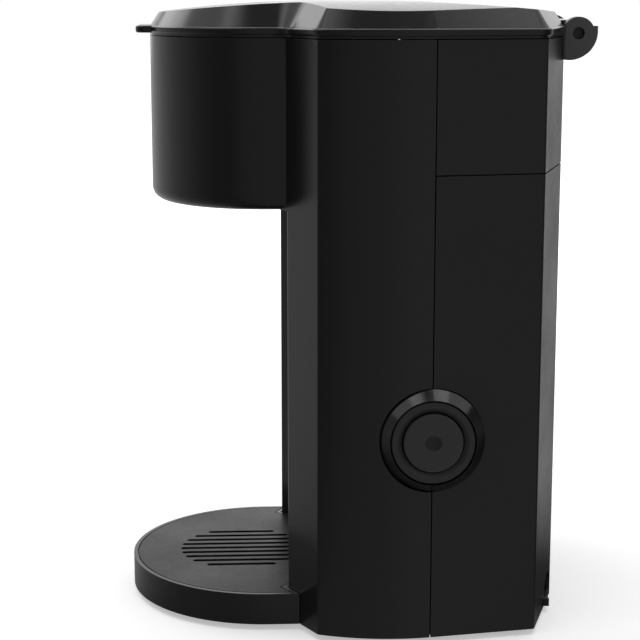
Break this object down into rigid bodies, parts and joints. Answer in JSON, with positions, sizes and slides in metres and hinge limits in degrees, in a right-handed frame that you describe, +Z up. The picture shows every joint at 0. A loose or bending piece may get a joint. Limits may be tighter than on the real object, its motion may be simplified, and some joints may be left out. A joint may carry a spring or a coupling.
{
  "type": "drip coffee maker",
  "caption": "Single-serve drip coffee maker: black column with a rounded brew head over a mug plate, hinged lid on a rear water tank and a round push button on its side.",
  "frame": {"origin": "on the table, on the machine's mid-plane, half way between the front of the mug plate and the rear of the hinge", "axes": "+Z up, -Y towards the front with the mug plate, +X towards the user's right, where the button is"},
  "size_m": [0.1571, 0.1879, 0.2471],
  "materials": {
    "body_black": "smooth semi-gloss black",
    "tank_black": "smooth semi-gloss black",
    "inner_black": "satin black",
    "screw_steel": "plated steel",
    "foot_rubber": "matt black rubber",
    "base_black": "smooth semi-gloss black",
    "grid_black": "satin black",
    "lid_black": "smooth semi-gloss black",
    "hose_silicone": "milky silicone",
    "soft_seal": "grey silicone",
    "pin_steel": "black-finished steel",
    "filter_mesh": "fine steel mesh",
    "clip_steel": "plated spring steel",
    "heater_cast": "bare extruded aluminium",
    "element_steel": "sheathed element",
    "sheet_steel": "zinc-plated sheet",
    "stat_can": "plated can",
    "fuse_sleeve": "woven glass sleeve",
    "button_black": "satin black",
    "ring_black": "satin black",
    "carrier_plastic": "black moulding",
    "board_green": "printed board",
    "switch_case": "black moulding",
    "block_white": "white moulding",
    "lead_cover": "white sleeved wire",
    "gland_rubber": "matt black rubber"
  },
  "bodies": {
    "body": {"front_housing": "body_black", "rear_housing": "body_black", "water_tank": "tank_black", "tank_strainer": "inner_black", "bottom_cover": "inner_black", "cover_screws": "screw_steel", "rubber_feet": "foot_rubber", "mug_base": "base_black", "hinge_pin": "pin_steel", "top_deck": "inner_black", "water_port": "inner_black", "port_seal": "soft_seal", "brew_basket": "inner_black", "mesh_filter": "filter_mesh", "cold_hose": "hose_silicone", "riser_hose": "hose_silicone", "hose_clips": "clip_steel", "heater_body": "heater_cast", "heating_element": "element_steel", "heater_bracket": "sheet_steel", "bracket_screws": "screw_steel", "thermostat_plate": "sheet_steel", "thermostat": "stat_can", "thermal_fuse": "fuse_sleeve", "button_bezel": "button_black", "button_ring": "ring_black", "switch_carrier": "carrier_plastic", "led_board": "board_green", "switch_body": "switch_case", "terminal_block": "block_white", "switch_leads": "lead_cover", "element_leads": "lead_cover", "cord_gland": "gland_rubber"},
    "lid": {"lid_shell": "lid_black", "lid_liner": "inner_black", "lid_screws": "screw_steel", "lid_duct": "hose_silicone", "lid_seal": "soft_seal", "shower_head": "inner_black"},
    "button": {"button_cap": "button_black"},
    "drip_tray": {"drip_tray": "inner_black", "drip_grid": "grid_black"}
  },
  "joints": [
    {"name": "lid_hinge", "type": "hinge", "parent": "body", "child": "lid", "pos_m": [0, 0.0863, 0.2345], "axis": [-1, 0, 0], "range_deg": [0, 105]},
    {"name": "button_press", "type": "slide", "parent": "body", "child": "button", "axis": [-1, 0, 0], "range_m": [0, 0.002], "stiffness_N_per_m": 900},
    {"name": "drip_tray_lift", "type": "slide", "parent": "body", "child": "drip_tray", "axis": [0, 0, 1], "range_m": [0, 0.03]}
  ]
}
